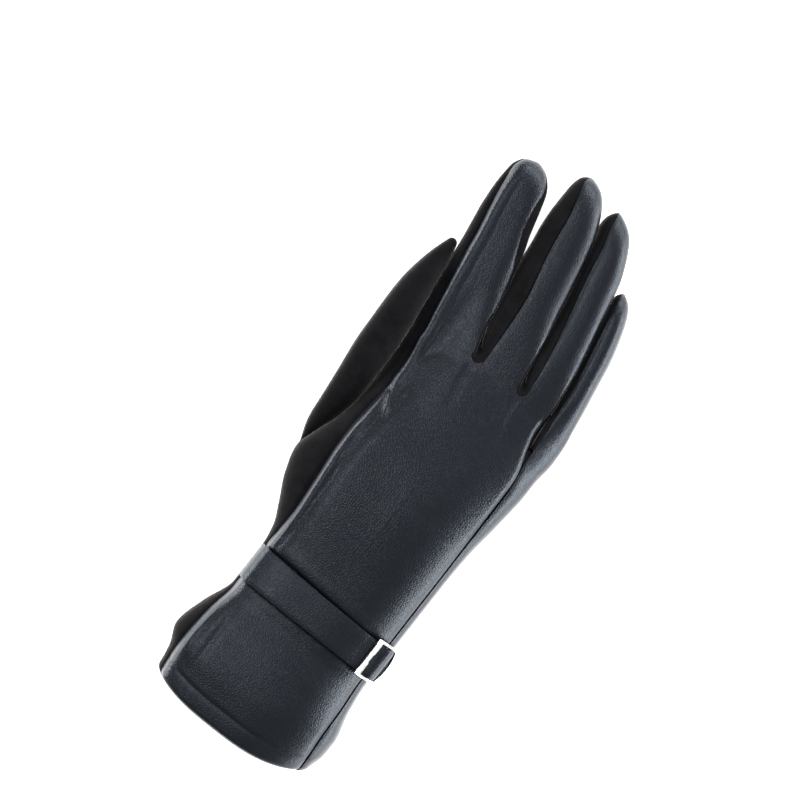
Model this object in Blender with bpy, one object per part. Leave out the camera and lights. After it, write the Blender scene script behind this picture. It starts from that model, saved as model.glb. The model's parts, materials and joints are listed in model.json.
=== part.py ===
"""A right-hand dress glove lying palm down, as an assembly of its cut pieces.

Metres, +Z up, +Y from the cuff to the fingertips, +X towards the little finger. The origin lies on the
resting plane, under the middle of the wrist strap. Leather back and side, suede palm, thumb and finger
walls, a lining, a wrist strap and the buckle that is threaded on it.
"""

import math

import bmesh
import bpy
from mathutils import Matrix, Vector

MM = 0.001

# Material thicknesses and the gaps that keep the pieces apart
LEATHER = 0.9 * MM
SUEDE = 0.9 * MM
LINING = 1.0 * MM
SEAM_GAP = 0.3 * MM
LINING_GAP = 0.8 * MM
DRAW_IN = 2.8 * MM  # how far the lining draws in at the finger roots
DIGIT_LIFT = 0.3 * MM  # the fingers lie this far above the plane that the palm rests on

# The hand
CUFF_LENGTH = 59.4 * MM  # strap line to the mouth
HAND_LENGTH = 119.5 * MM  # strap line to the roots of the middle and ring fingers
INDEX_DROP = 6.8 * MM  # the thumb side of the index root lies this much lower
LITTLE_DROP = 15.3 * MM  # the little finger's root lies this much lower
MOUTH_BOW = 6.6 * MM  # the hem's corners stand about this much above its lowest point
MOUTH_LOW = -4.0 * MM  # where across the hand the hem is lowest
MOUTH_FADE = 22.0  # the bow of the hem dies out this far below the strap, in the rows' own places
CROTCH_DIP = 7.0 * MM  # how far the back sinks between two fingers
CROTCH_WIDTH = 5.0 * MM
SQUARENESS = 2.5  # exponent of the flattened tubes' outline, where 2 is an ellipse
ROOT_FADE = 0.3  # share of a finger over which the slant of its root fades out
TIP_SHARE = 0.4  # share of a finger's rows that its blunt tip takes up
BELLY = 3.0 * MM  # how much of the outline's underside is pressed flat
WELT_WIDTH = 1.2 * MM
WELT_SUNK = 0.3 * MM
FACING_DEPTH = 12.0 * MM  # the turned-in hem inside the mouth
FACING = 0.7 * MM

# The wrist strap and its buckle
STRAP_WIDTH = 15.5 * MM  # where it leaves the thumb-side seam
STRAP_END = 13.4 * MM  # at the buckle
STRAP = 1.4 * MM
BUCKLE_SIDE = 25.8 * MM  # from the strap's middle to the buckle's straight bar
BUCKLE_TILT = math.radians(42.0)
BUCKLE_WIDTH = 14.5 * MM  # along the strap
BUCKLE_BOW = 1.6 * MM  # how far the far bar bows out
BUCKLE_BAR = 2.4 * MM  # the straight bar and the bowed one
BUCKLE_ARM = 1.6 * MM  # the two bars beside the strap
BUCKLE = 1.8 * MM
BUCKLE_STAND = 1.3 * MM  # the strap below the buckle stands this far off the back
BUCKLE_ROOM = 0.5 * MM  # between the strap's edges and the frame
ROCK_ROOM = 0.7 * MM  # between the strap and the frame's two bars
POST = 0.6 * MM  # radius of the bar that the strap passes over
NOTCH = 3.5 * MM  # length of the shallow rest in the straight bar
NOTCH_DEPTH = 0.5 * MM
STRAP_STEPS = 18  # sections of the strap between the thumb-side seam and the buckle

# The ways through the hand's side wall into the thumb, and through the lining into the little finger
THUMB_DOOR_X = (-47.5 * MM, -34.0 * MM)
THUMB_DOOR_Y = (58.0 * MM, 74.0 * MM)
THUMB_DOOR_Z = (5.0 * MM, 13.0 * MM)
LITTLE_DOOR_X = (26.5 * MM, 33.5 * MM)
LITTLE_DOOR_Y = (97.0 * MM, 107.0 * MM)
LITTLE_DOOR_Z = (5.0 * MM, 12.0 * MM)

# Rows of the hand: place along it, outer side by the thumb, seam of the back, height
THUMB_SIDE = (
    (-60.0, -36.0, -34.0, 29.0),
    (-50.0, -37.2, -34.9, 30.2),
    (-40.0, -40.6, -35.2, 31.0),
    (-24.0, -37.6, -34.2, 29.5),
    (-9.0, -32.7, -31.8, 27.0),
    (9.0, -32.7, -31.8, 27.0),
    (18.0, -34.0, -31.6, 27.8),
    (27.0, -38.0, -31.6, 28.5),
    (38.0, -43.4, -32.4, 29.2),
    (49.0, -46.2, -33.4, 29.5),
    (58.0, -44.0, -34.2, 29.2),
    (68.0, -40.6, -34.4, 28.4),
    (78.0, -38.9, -33.8, 27.0),
    (90.0, -38.4, -32.9, 24.5),
    (104.0, -38.8, -33.6, 21.5),
    (119.5, -39.6, -35.2, 18.0),
)
# Rows of the hand's other side: place along it, seam of the back, outer side
LITTLE_SIDE = (
    (-60.0, 32.4, 34.4),
    (-50.0, 32.3, 36.2),
    (-42.0, 32.2, 36.3),
    (-24.0, 31.9, 33.6),
    (-9.0, 31.0, 32.1),
    (9.0, 31.0, 32.1),
    (40.0, 30.8, 32.1),
    (55.0, 30.6, 32.6),
    (70.0, 30.4, 34.3),
    (90.0, 29.2, 36.2),
    (103.6, 26.0, 36.9),
)
# Rows of the thumb: place along the hand, outer side, side by the hand, height
THUMB_ROWS = (
    (48.0, -47.6, -30.0, 8.0),
    (53.0, -48.4, -30.0, 12.0),
    (60.0, -49.6, -30.0, 15.5),
    (70.0, -50.6, -30.0, 17.5),
    (82.0, -52.2, -39.0, 18.0),
    (100.0, -54.0, -39.3, 18.0),
    (115.0, -54.5, -40.9, 17.5),
    (125.0, -54.3, -42.1, 17.0),
    (133.0, -53.6, -43.2, 15.8),
    (140.0, -52.5, -44.1, 13.8),
    (147.0, -50.6, -45.7, 9.0),
    (150.5, -48.8, -47.4, 3.0),
)
THUMB_HEIGHT = 18.0 * MM
RING_SIDE = ((104.8, 24.6, 25.8), (119.5, 23.2, 24.2))  # above the little finger's root
STATIONS = (-60, -50, -40, -28, -18, -9, 9, 18, 27, 38, 49, 58, 68, 80, 91, 99, 103.6, 104.8, 109, 114, 119.5)
TIPWARD = (0.0, 0.1, 0.2, 0.31, 0.42, 0.54, 0.66, 0.78, 0.86, 0.92)


class Digit:
    """A finger: a flattened tube given by rows along it, from its root line to its round tip."""

    def __init__(self, name, tip, height, rows):
        self.name, self.tip, self.height = name, tip, height * MM
        self.root = rows[0][0]
        self.rows = rows + ((tip[1], tip[0], tip[0], tip[0]),)

    def row(self, column, nearness):
        """A row's value read against the square root of the way to the tip, so that the tip comes out round."""
        table = [(-self.nearness(row[0]), row[column]) for row in self.rows]
        return curve(table, -nearness) * MM

    def nearness(self, place):
        return math.sqrt((self.tip[1] - place) / (self.tip[1] - self.root))

    def section(self, share, inset=0.0):
        """Place along the finger, both sides, the back's seam and the half height there."""
        length = (self.tip[1] - self.root) * MM
        nearness = 1 - share
        place = self.tip[1] - inset / MM - (length - inset) / MM * nearness * nearness
        left, edge, right = (self.row(column, nearness) for column in (1, 2, 3))
        high = self.height / 2 * math.sin(math.pi / 2 * min(1.0, nearness / TIP_SHARE))
        return place * MM, left, edge, right, high

    def seam(self, share):
        """The angle of the back's seam on the thumb side, from where it shows in plan."""
        _, left, edge, right, _ = self.section(share)
        across = (edge - (left + right) / 2) / max((right - left) / 2, 0.05 * MM)
        return math.acos(math.copysign(min(abs(across), 0.98) ** (SQUARENESS / 2), across))

    def point(self, share, angle, inset=0.0):
        """A point on the tube at a share of its length, at an angle from the little-finger side over the top."""
        place, left, _, right, high = self.section(share, inset)
        x, z = outline((right - left) / 2, high, angle, inset)
        x += (left + right) / 2
        z = max(z + self.height / 2, inset) + DIGIT_LIFT
        return Vector((x, place + root_shift(x, share), z))


class Thumb:
    """The thumb: a pod that lies along the hand's side, given by rows along it."""

    name = "thumb"

    def point(self, share, angle, inset=0.0):
        first, last = THUMB_ROWS[0][0], THUMB_ROWS[-1][0]
        room = inset / MM
        place = first + room + (last - first - 2 * room) * share
        left, right, height = (row_curve(THUMB_ROWS, column, place) for column in (1, 2, 3))
        right = min(right, HAND.sides(place)[0] - SEAM_GAP)
        x, z = outline((right - left) / 2, height / 2, angle, inset)
        z = max(z + THUMB_HEIGHT / 2, inset) + DIGIT_LIFT
        return Vector(((left + right) / 2 + x, place * MM, z))


def curve(rows, where):
    """A smooth reading of rows of (place, value) that never overshoots them."""
    places = [row[0] for row in rows]
    values = [row[1] for row in rows]
    if where <= places[0]:
        return values[0]
    if where >= places[-1]:
        return values[-1]
    at = max(i for i, place in enumerate(places) if place <= where)
    slopes = [(values[i + 1] - values[i]) / (places[i + 1] - places[i]) for i in range(len(rows) - 1)]

    def slope(i):
        if i == 0 or i == len(rows) - 1 or slopes[i - 1] * slopes[i] <= 0:
            return 0.0
        return 2 * slopes[i - 1] * slopes[i] / (slopes[i - 1] + slopes[i])

    step = places[at + 1] - places[at]
    t = (where - places[at]) / step
    start, end = values[at], values[at + 1]
    return (
        start
        + (end - start) * t * t * (3 - 2 * t)
        + step * t * (1 - t) * (slope(at) * (1 - t) - slope(at + 1) * t)
    )


def outline(half_width, half_height, angle, inset):
    """A point on the flattened tube's outline, in from its outer face by an inset."""
    c, s = math.cos(angle), math.sin(angle)
    power = 2 / SQUARENESS
    wide, high = max(half_width - inset, 0.05 * MM), max(half_height - inset, 0.05 * MM)
    return wide * math.copysign(abs(c) ** power, c), high * math.copysign(abs(s) ** power, s)


def stretch(place):
    """A row's place along the hand, at the hand's own lengths."""
    first, last = THUMB_SIDE[0][0], THUMB_SIDE[-1][0]
    return place / first * -CUFF_LENGTH if place < 0 else place / last * HAND_LENGTH


def row_curve(rows, column, place):
    return curve([(row[0], row[column]) for row in rows], place) * MM


def little_rows(column):
    """The rows of the little-finger side, with the step down to the ring finger's own side."""
    return [(row[0], row[column]) for row in LITTLE_SIDE + RING_SIDE]


def root_shift(x, away):
    """How far the slant of the index finger's root moves a point, fading out away from the root."""
    reach = CROTCHES[0] - INDEX.rows[0][1] * MM
    slant = max(0.0, min(1.0, (CROTCHES[0] - x) / reach))
    return -INDEX_DROP * slant * max(0.0, 1 - away / ROOT_FADE) if away < ROOT_FADE else 0.0


class Hand:
    """The hand and cuff: one flattened tube whose outline changes along it."""

    def sides(self, place):
        return row_curve(THUMB_SIDE, 1, place), curve(little_rows(2), place) * MM

    def seam(self, place, thumb_side):
        """The angle of the back panel's seam, from where it shows in plan."""
        left, right = self.sides(place)
        at = row_curve(THUMB_SIDE, 2, place) if thumb_side else curve(little_rows(1), place) * MM
        share = (at - (left + right) / 2) / ((right - left) / 2)
        return math.acos(math.copysign(min(abs(share), 1.0) ** (SQUARENESS / 2), share))

    def point(self, place, angle, inset=0.0):
        left, right = self.sides(place)
        height = row_curve(THUMB_SIDE, 3, place)
        x, z = outline((right - left) / 2, (height + BELLY) / 2, angle, inset)
        x += (left + right) / 2
        z = max(z + (height - BELLY) / 2, inset)
        z -= self.dip(place, x) * max(0.0, math.sin(angle))
        return Vector((x, stretch(place) + self.end_shift(place, x), z))

    def end_shift(self, place, x):
        """How far the mouth's bow and the slant of the finger roots move a point along the hand."""
        reach = row_curve(THUMB_SIDE, 1, THUMB_SIDE[0][0])
        fade = max(0.0, (place + MOUTH_FADE) / (THUMB_SIDE[0][0] + MOUTH_FADE))
        mouth = MOUTH_BOW * ((x - MOUTH_LOW) / reach) ** 2 * fade
        start = 100.0
        knuckle = max(0.0, (place - start) / (THUMB_SIDE[-1][0] - start))
        return mouth + root_shift(x, 0.0) * knuckle

    def dip(self, place, x):
        """The hollow that runs into the back between two fingers."""
        start = 106.0
        near = max(0.0, (place - start) / (THUMB_SIDE[-1][0] - start))
        return CROTCH_DIP * near * near * sum(math.exp(-(((x - at) / CROTCH_WIDTH) ** 2)) for at in CROTCHES)


ROOT = HAND_LENGTH / MM + SEAM_GAP / MM
LITTLE_ROOT = ROOT - LITTLE_DROP / MM
# Each finger: tip, height, then rows of place along the hand, outer side by the thumb, seam of the back, other side
INDEX = Digit("index", (-40.0, 195.0), 16.5, (
    (ROOT, -39.6, -35.2, -14.6),
    (130.0, -41.5, -37.0, -17.0),
    (140.0, -43.0, -39.0, -18.5),
    (150.0, -44.5, -41.0, -20.5),
    (160.0, -46.0, -42.6, -22.8),
    (170.0, -47.5, -44.5, -24.8),
    (180.0, -48.2, -46.0, -27.8),
    (188.0, -47.8, -46.0, -31.0),
    (192.5, -45.8, -44.6, -34.8),
))
MIDDLE = Digit("middle", (-18.8, 203.2), 17.0, (
    (ROOT, -11.6, -8.7, 7.4),
    (130.0, -15.0, -9.0, 6.0),
    (140.0, -17.4, -10.0, 4.5),
    (150.0, -19.4, -10.7, 2.5),
    (160.0, -21.4, -12.0, 1.0),
    (168.0, -22.6, -14.0, -0.7),
    (178.0, -24.0, -16.2, -2.8),
    (185.0, -24.1, -17.2, -4.8),
    (195.0, -24.0, -19.4, -9.4),
    (200.5, -22.8, -20.3, -13.4),
))
RING = Digit("ring", (-2.0, 199.2), 16.5, (
    (ROOT, 10.4, 12.2, 24.2),
    (130.0, 7.0, 11.5, 23.0),
    (140.0, 5.2, 10.0, 21.5),
    (150.0, 3.3, 8.0, 20.0),
    (160.0, 1.8, 6.5, 17.7),
    (170.0, -0.4, 4.5, 15.4),
    (177.0, -2.0, 3.0, 13.8),
    (185.0, -3.6, 1.5, 10.6),
    (193.0, -5.2, -0.8, 6.2),
))
LITTLE = Digit("little", (19.2, 175.2), 15.0, (
    (LITTLE_ROOT, 26.8, 28.0, 36.9),
    (112.0, 26.2, 28.0, 36.5),
    (120.0, 25.2, 28.0, 35.2),
    (130.0, 23.8, 27.5, 33.8),
    (140.0, 22.3, 25.6, 32.1),
    (150.0, 20.6, 24.0, 30.4),
    (160.0, 18.6, 22.0, 27.8),
    (167.0, 17.4, 20.8, 25.4),
    (171.0, 17.0, 20.0, 23.6),
))
THUMB = Thumb()
CROTCHES = tuple((one.rows[0][3] + two.rows[0][1]) / 2 * MM for one, two in ((INDEX, MIDDLE), (MIDDLE, RING)))
HAND = Hand()

# Where each finger's pieces meet, as angles from the little-finger side over the top
SEAMS = {
    "index": (-10, None, 312),
    "middle": (-12, 205, 312),
    "ring": (-12, 205, 312),
    "little": (-34, 205, None),
}


def empty_scene():
    for thing in list(bpy.data.objects):
        bpy.data.objects.remove(thing)


def material(name, colour, roughness, metallic=0.0):
    made = bpy.data.materials.new(name)
    made.use_nodes = True
    shader = made.node_tree.nodes["Principled BSDF"]
    shader.inputs["Base Color"].default_value = (*colour, 1.0)
    shader.inputs["Roughness"].default_value = roughness
    shader.inputs["Metallic"].default_value = metallic
    return made


def loft(name, rings, finish, closed=False):
    """A solid skinned over rings of points. Its two ends are capped, or joined to each other where it is closed."""
    mesh = bmesh.new()
    made = [[mesh.verts.new(point) for point in ring] for ring in rings]
    pairs = list(zip(made, made[1:])) + ([(made[-1], made[0])] if closed else [])
    for first, second in pairs:
        for i in range(len(first)):
            j = (i + 1) % len(first)
            mesh.faces.new((first[i], first[j], second[j], second[i]))
    for ring in () if closed else (made[0], made[-1]):
        for i in range(len(ring) // 2 - 1):
            mesh.faces.new((ring[i], ring[i + 1], ring[-i - 2], ring[-i - 1]))
    bmesh.ops.recalc_face_normals(mesh, faces=mesh.faces)
    return finished(name, mesh, finish)


def finished(name, mesh, finish):
    data = bpy.data.meshes.new(name)
    mesh.to_mesh(data)
    mesh.free()
    data.shade_smooth()
    data.set_sharp_from_angle(angle=math.radians(50))
    data.materials.append(finish)
    made = bpy.data.objects.new(name, data)
    bpy.context.scene.collection.objects.link(made)
    return made


def spread(start, end, count):
    return [start + (end - start) * i / (count - 1) for i in range(count)]


def strip(tube, places, edges, wall, sunk=0.0, columns=7):
    """Rings of a cut piece that covers a tube between two edges, each edge an angle or a function of the place."""
    rings = []
    for place in places:
        start, end = (read(edge, place) for edge in edges)
        angles = spread(start, end, columns)
        outer = [tube.point(place, angle, sunk) for angle in angles]
        inner = [tube.point(place, angle, wall) for angle in reversed(angles)]
        rings.append(outer + inner)
    return rings


def seam_angle(gap, half_width):
    """Half of a seam's gap, as an angle on a tube."""
    return gap / 2 / half_width


def digit_pieces(digit, leather, suede, lining):
    """The back, the palm side, the side walls and the lining of one finger."""
    start, palm_start, palm_end = (None if angle is None else math.radians(angle) for angle in SEAMS[digit.name])
    turn = 2 * math.pi

    def half_gap(share):
        _, left, _, right, _ = digit.section(share)
        return seam_angle(SEAM_GAP, max((right - left) / 2, SUEDE))

    def cut(name, first, last, wall, finish, columns):
        edges = (lambda share: read(first, share) + half_gap(share), lambda share: read(last, share) - half_gap(share))
        loft(f"{digit.name}_{name}", strip(digit, TIPWARD, edges, wall, columns=columns), finish)

    cut("back", start, digit.seam, LEATHER, leather, 8)
    cut("palm", palm_start or digit.seam, palm_end or start + turn, SUEDE, suede, 7)
    if palm_start:
        cut("wall_thumb_side", digit.seam, palm_start, SUEDE, suede, 5)
    if palm_end:
        cut("wall_little_side", palm_end, start + turn, SUEDE, suede, 4)
    tube_lining(digit, TIPWARD, lining)


def read(edge, place):
    """An edge's angle: a fixed one, or one that changes with the place."""
    return edge(place) if callable(edge) else edge


def ring_of(tube, place, inset, columns):
    return [tube.point(place, 2 * math.pi * i / columns, inset) for i in range(columns)]


def tube_lining(digit, places, lining, columns=12):
    """A blind tube inside a digit, from its inner tip back to the root and out again to its outer tip."""
    outside = LEATHER + LINING_GAP
    rings = [ring_of(digit, place, outside + LINING, columns) for place in reversed(places)]
    rings += [ring_of(digit, place, outside, columns) for place in places]
    return loft(f"{digit.name}_lining", rings, lining)


def hand_pieces(leather, suede, lining):
    """The back, the side, the palm, the welt between them, the turned-in hem and the hand's lining."""
    places = [float(place) for place in STATIONS]
    step = seam_angle(SEAM_GAP, HAND_LENGTH / 4)
    welt = seam_angle(WELT_WIDTH, BELLY + HAND.sides(0)[1] / 2)
    below = [place for place in places if place <= LITTLE_SIDE[-1][0]]

    def ulnar(place):
        return HAND.seam(place, False)

    def radial(place):
        return HAND.seam(place, True)

    def palm_edge(place):
        return math.radians(-46) if place <= LITTLE_SIDE[-1][0] else math.radians(-58)

    loft(
        "back_panel",
        strip(HAND, places, (lambda p: ulnar(p) + welt + 2 * step, lambda p: radial(p) - step), LEATHER, columns=22),
        leather,
    )
    loft(
        "side_panel",
        strip(HAND, below, (lambda p: palm_edge(p) + step, lambda p: ulnar(p) - welt - 2 * step), LEATHER, columns=6),
        leather,
    )
    loft(
        "ulnar_welt",
        strip(HAND, below, (lambda p: ulnar(p) - welt, lambda p: ulnar(p) + welt), LEATHER, WELT_SUNK, 2),
        suede,
    )
    palm = loft(
        "palm_panel",
        strip(HAND, places, (lambda p: radial(p) + step, lambda p: palm_edge(p) + 2 * math.pi - step), SUEDE, columns=14),
        suede,
    )
    above = [place for place in places if place > LITTLE_SIDE[-1][0]]
    loft(
        "crotch_gusset",
        strip(HAND, above, (lambda p: palm_edge(p) + step, lambda p: ulnar(p) + welt), SUEDE, columns=5),
        suede,
    )
    outside = LEATHER + LINING_GAP + SEAM_GAP
    hem = spread(places[0] + SEAM_GAP / MM, places[0] + FACING_DEPTH / MM, 4)
    rings = [ring_of(HAND, place, outside, 28) for place in hem]
    rings += [ring_of(HAND, place, outside + FACING, 28) for place in reversed(hem)]
    loft("cuff_facing", rings, leather, closed=True)
    inside = [hem[-1] + SEAM_GAP / MM]
    inside += [place for place in places if place > hem[-1] + 1 and place != LITTLE_SIDE[-1][0]]
    drawn_in = {place: outside + DRAW_IN * max(0.0, (place - RING_SIDE[0][0]) / (places[-1] - RING_SIDE[0][0])) for place in inside}
    rings = [ring_of(HAND, place, drawn_in[place], 32) for place in inside]
    rings += [ring_of(HAND, place, drawn_in[place] + LINING, 32) for place in reversed(inside)]
    return palm, loft("hand_lining", rings, lining, closed=True)


def cutter(name, low, high):
    """A hidden box that opens a way through the pieces that name it."""
    mesh = bmesh.new()
    bmesh.ops.create_cube(mesh, size=1.0)
    for vert in mesh.verts:
        for axis in range(3):
            vert.co[axis] = low[axis] if vert.co[axis] < 0 else high[axis]
    data = bpy.data.meshes.new(name)
    mesh.to_mesh(data)
    mesh.free()
    made = bpy.data.objects.new(name, data)
    bpy.context.scene.collection.objects.link(made)
    hide(made)
    return made


def hide(tool):
    """A shape that only cuts or joins others."""
    tool.hide_render = True
    tool.display_type = "WIRE"


def open_way(piece, way):
    cut = piece.modifiers.new(way.name, "BOOLEAN")
    cut.operation = "DIFFERENCE"
    cut.object = way


class Buckle:
    """Where the buckle lies on the back of the wrist: a plane tilted about the hand's length."""

    def __init__(self):
        left, right = HAND.sides(0)
        self.along = Vector((math.cos(BUCKLE_TILT), 0, -math.sin(BUCKLE_TILT)))
        self.out = Vector((math.sin(BUCKLE_TILT), 0, math.cos(BUCKLE_TILT)))
        self.under = -(BUCKLE / 2 + ROCK_ROOM + STRAP / 2)  # middle of the strap below the bars
        self.lift = STRAP / 2 + BUCKLE_STAND - self.under
        share = (BUCKLE_SIDE - self.lift * self.out.x - (left + right) / 2) / ((right - left) / 2)
        self.angle = math.acos(share ** (SQUARENESS / 2))
        self.corner = HAND.point(0, self.angle) + self.out * self.lift
        self.post_along = (BUCKLE_WIDTH - BUCKLE_BOW) / 2
        self.post_out = -BUCKLE / 2 - POST / 3
        self.over = self.post_out + POST + SEAM_GAP + STRAP / 2  # middle of the strap over the post

    def place(self, along, across, out):
        return self.corner + self.along * along + Vector((0, across, 0)) + self.out * out


def strap_path(buckle):
    """The middle of the strap: over the wrist, under the bar, over the post, under the far bar and down the side."""
    off = SEAM_GAP + STRAP / 2
    line = [HAND.point(0, angle, -off) for angle in spread(HAND.seam(0, True), buckle.angle + 0.08, STRAP_STEPS)]
    inner, outer, post = BUCKLE_BAR, BUCKLE_WIDTH - BUCKLE_BAR - BUCKLE_BOW, buckle.post_along
    crest = POST + SEAM_GAP
    for along, out in (
        (BUCKLE_BAR / 2, buckle.under),
        (inner, buckle.under),
        (post - crest, buckle.over),
        (post + crest, buckle.over),
        (outer, buckle.under),
        (BUCKLE_WIDTH - BUCKLE_BAR / 2, buckle.under),
    ):
        line.append(buckle.place(along, 0, out))
    for angle in (-4, -12, -20):
        line.append(HAND.point(0, math.radians(angle), -off - SEAM_GAP))
    for point in line:
        point.y = 0
    return line


def strap_piece(buckle, leather):
    """A flat band swept along the strap's path."""
    line = strap_path(buckle)
    rings = []
    for i, point in enumerate(line):
        ahead = (line[min(i + 1, len(line) - 1)] - line[max(i - 1, 0)]).normalized()
        out = Vector((-ahead.z, 0, ahead.x)) * STRAP / 2
        width = STRAP_WIDTH + (STRAP_END - STRAP_WIDTH) * min(1.0, i / STRAP_STEPS)
        side = Vector((0, width / 2, 0))
        rings.append([point + out - side, point + out + side, point - out + side, point - out - side])
    loft("wrist_strap", rings, leather)


def buckle_piece(buckle, metal):
    """A cast frame, square by its straight bar and bowed at the far bar, with the post across its middle."""
    half = STRAP_END / 2 + BUCKLE_ROOM + BUCKLE_ARM
    inner_half = half - BUCKLE_ARM
    bow = [
        (BUCKLE_WIDTH - BUCKLE_BOW * (across / half) ** 2, across) for across in spread(-half, half, 9)
    ]
    inner_bow = [
        (BUCKLE_WIDTH - BUCKLE_BAR - BUCKLE_BOW * (across / inner_half) ** 2, across)
        for across in spread(inner_half, -inner_half, 9)
    ]
    outside = [(0, -half)] + bow + [(0, half)]
    notch = [
        (BUCKLE_BAR, -inner_half),
        (BUCKLE_BAR, -NOTCH / 2),
        (BUCKLE_BAR - NOTCH_DEPTH, -NOTCH / 2),
        (BUCKLE_BAR - NOTCH_DEPTH, NOTCH / 2),
        (BUCKLE_BAR, NOTCH / 2),
        (BUCKLE_BAR, inner_half),
    ]
    mesh = bmesh.new()
    for loop in (outside, notch + inner_bow):
        verts = [mesh.verts.new((along, across, -BUCKLE / 2)) for along, across in loop]
        for i, vert in enumerate(verts):
            mesh.edges.new((vert, verts[(i + 1) % len(verts)]))
    bmesh.ops.triangle_fill(mesh, edges=mesh.edges[:], use_beauty=True)
    grown = bmesh.ops.extrude_face_region(mesh, geom=mesh.faces[:])["geom"]
    bmesh.ops.translate(mesh, verts=[g for g in grown if isinstance(g, bmesh.types.BMVert)], vec=(0, 0, BUCKLE))
    bmesh.ops.recalc_face_normals(mesh, faces=mesh.faces)
    frame = finished("buckle_frame", mesh, metal)
    post_mesh = bmesh.new()
    lying = Matrix.Rotation(math.radians(90), 4, "X")
    depth = 2 * inner_half + BUCKLE_ARM
    at = Matrix.Translation((buckle.post_along, 0, buckle.post_out))
    bmesh.ops.create_cone(
        post_mesh, cap_ends=True, segments=10, radius1=POST, radius2=POST, depth=depth, matrix=at @ lying
    )
    post = finished("buckle_post", post_mesh, metal)
    for piece in (frame, post):
        piece.data.transform(Matrix.Translation(buckle.corner) @ Matrix.Rotation(BUCKLE_TILT, 4, "Y"))
    join = frame.modifiers.new("post", "BOOLEAN")
    join.operation = "UNION"
    join.object = post
    hide(post)


def thumb_pieces(suede, lining):
    """Two halves of the thumb, sewn along both sides, and its lining."""
    half_gap = seam_angle(SEAM_GAP, THUMB_HEIGHT / 4)
    places = (0.0, 0.06, 0.15, 0.27, 0.39, 0.51, 0.63, 0.74, 0.84, 0.92, 0.97, 1.0)
    seams = math.radians(20), math.radians(165)
    upper = strip(THUMB, places, (seams[0] + half_gap, seams[1] - half_gap), SUEDE, columns=7)
    lower = strip(THUMB, places, (seams[1] + half_gap, seams[0] + 2 * math.pi - half_gap), SUEDE, columns=9)
    tube_lining(THUMB, places[3:], lining)
    return loft("thumb_top", upper, suede), loft("thumb_under", lower, suede)


def main():
    empty_scene()
    leather = material("black_leather", (0.022, 0.024, 0.029), 0.42)
    suede = material("black_suede", (0.012, 0.011, 0.012), 0.95)
    lining = material("dark_fleece", (0.03, 0.03, 0.033), 0.98)
    metal = material("polished_nickel", (0.80, 0.79, 0.77), 0.12, 1.0)
    palm, hand_lining = hand_pieces(leather, suede, lining)
    for digit in (INDEX, MIDDLE, RING, LITTLE):
        digit_pieces(digit, leather, suede, lining)
    thumb_top, thumb_under = thumb_pieces(suede, lining)
    thumb_way = cutter("thumb_way", *zip(THUMB_DOOR_X, THUMB_DOOR_Y, THUMB_DOOR_Z))
    for piece in (palm, hand_lining, thumb_top, thumb_under):
        open_way(piece, thumb_way)
    open_way(hand_lining, cutter("little_way", *zip(LITTLE_DOOR_X, LITTLE_DOOR_Y, LITTLE_DOOR_Z)))
    buckle = Buckle()
    strap_piece(buckle, leather)
    buckle_piece(buckle, metal)


main()
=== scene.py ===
"""The look of a right-hand dress glove: leather back and strap, suede palm and finger walls, metal buckle."""

import json
import math
from collections import namedtuple
from functools import partial

import bmesh
import bpy
from mathutils import Matrix, Vector, noise


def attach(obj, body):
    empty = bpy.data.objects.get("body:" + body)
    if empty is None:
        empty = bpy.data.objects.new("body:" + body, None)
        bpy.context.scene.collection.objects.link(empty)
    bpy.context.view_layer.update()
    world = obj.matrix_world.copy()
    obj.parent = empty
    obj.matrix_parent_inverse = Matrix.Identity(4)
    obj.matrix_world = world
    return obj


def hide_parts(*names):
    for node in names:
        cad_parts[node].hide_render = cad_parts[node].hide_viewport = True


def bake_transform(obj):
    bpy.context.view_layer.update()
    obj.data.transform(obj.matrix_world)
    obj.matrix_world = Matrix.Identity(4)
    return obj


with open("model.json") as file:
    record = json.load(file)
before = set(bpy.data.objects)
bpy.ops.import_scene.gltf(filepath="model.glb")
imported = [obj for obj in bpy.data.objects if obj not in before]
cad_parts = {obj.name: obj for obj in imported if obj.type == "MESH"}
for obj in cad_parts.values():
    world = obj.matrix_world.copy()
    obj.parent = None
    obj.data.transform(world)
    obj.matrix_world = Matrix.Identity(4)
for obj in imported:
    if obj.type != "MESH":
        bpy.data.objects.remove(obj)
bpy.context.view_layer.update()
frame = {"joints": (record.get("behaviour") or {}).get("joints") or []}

bl_info = {
    "name": "Dress glove",
    "version": (1, 0, 0),
    "blender": (4, 5, 0),
    "location": "3D View > Sidebar > Glove",
    "description": "Dresses the glove's CAD frame in leather, suede, knit and metal",
    "category": "Object",
}

MM = 0.001
TURN = 2 * math.pi

# Shapes are worked out in mm, and angles run from the little-finger side over the top

# How square the flattened tubes are, how flat the back is, and the least half size of a closed tip
SQUARENESS = 2.5
FLATNESS = 4.2
THINNEST = 0.03
# The share of a tube's half width that counts as its very edge
EDGE_SHARE = 0.9995
# How far the hand's tube would reach below the floor, which flattens the palm, and the digits' lift off it
BELLY = 3.0
LIFT = 0.3

# Along the hand: the mouth of the cuff, the wrist at 0, the knuckles and the finger roots
MOUTH = -60.0
CUFF_LENGTH = 57.8
KNUCKLE = 100.0
ROOT = 119.6
LITTLE_ROOT = 104.4
RING_SIDE_START = LITTLE_ROOT + 0.6
# The mouth's bow: depth, middle, half width and where along the cuff it starts
MOUTH_BOW, MOUTH_MIDDLE, MOUTH_HALF, BOW_START = 6.6, -4.0, 36.0, -22.0
# The slant of the index finger's root: its drop, where it starts across the hand, and over what width
INDEX_DROP, SLANT_START, SLANT_WIDTH = 6.8, -13.1, 26.5

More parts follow.
